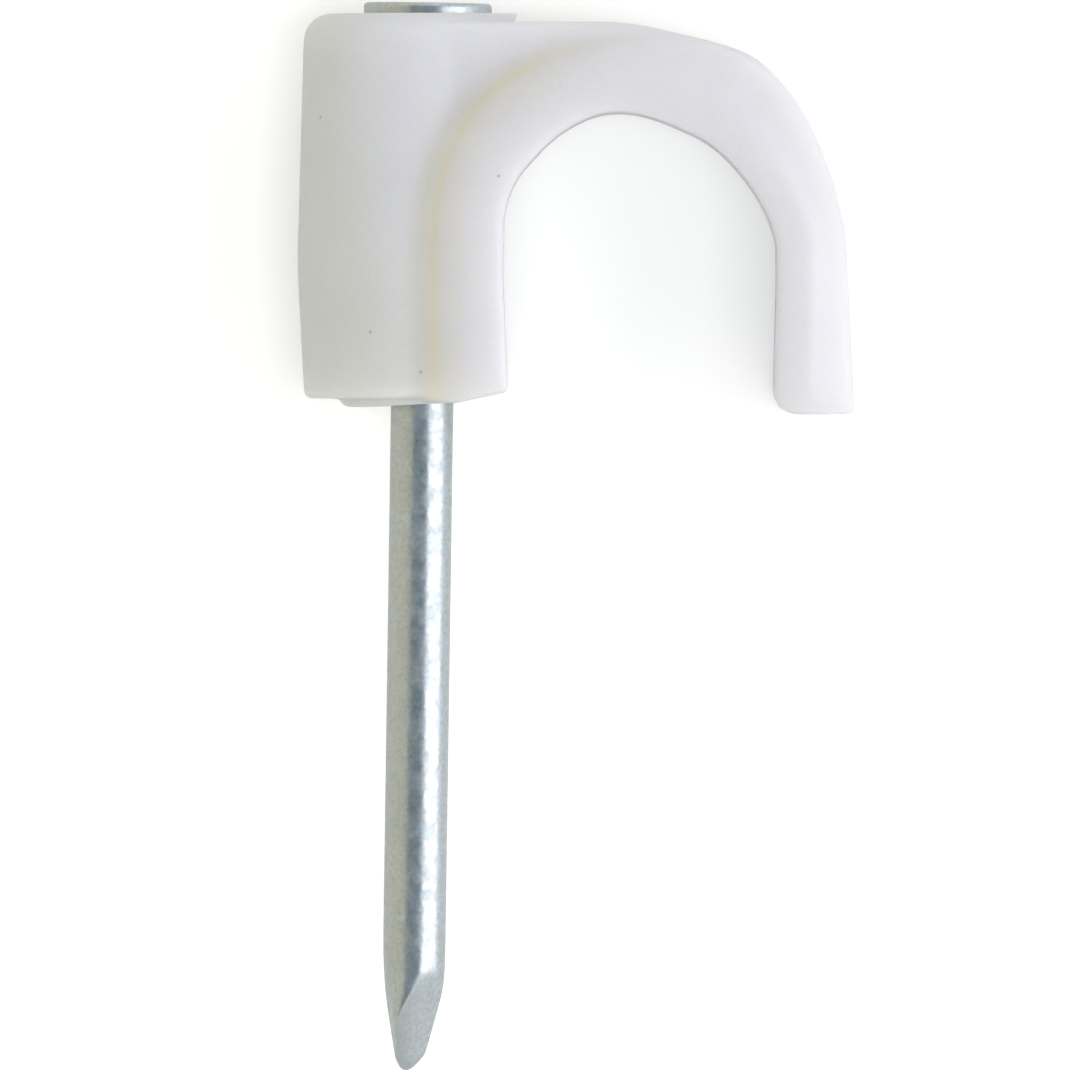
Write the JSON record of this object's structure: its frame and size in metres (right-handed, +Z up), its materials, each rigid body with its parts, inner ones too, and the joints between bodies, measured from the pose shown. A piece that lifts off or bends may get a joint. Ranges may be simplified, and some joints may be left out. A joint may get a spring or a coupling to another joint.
{
  "type": "nail-in cable clip",
  "caption": "Moulded cable clip with a hook-shaped channel and a hardened steel nail through its boss, for fixing a round cable to a wall.",
  "frame": {"origin": "on the surface that the clip lies on, under the middle of its bounding box", "axes": "+Y along the nail towards its head, +X across the clip towards the hook, +Z up, along the cable"},
  "size_m": [0.0182, 0.035, 0.0094],
  "materials": {
    "milky_plastic": "milky natural polyethylene, satin as moulded",
    "zinc_steel": "bright zinc plating, finely mottled"
  },
  "bodies": {
    "root": {"clip_body": "milky_plastic", "steel_nail": "zinc_steel"}
  },
  "joints": []
}
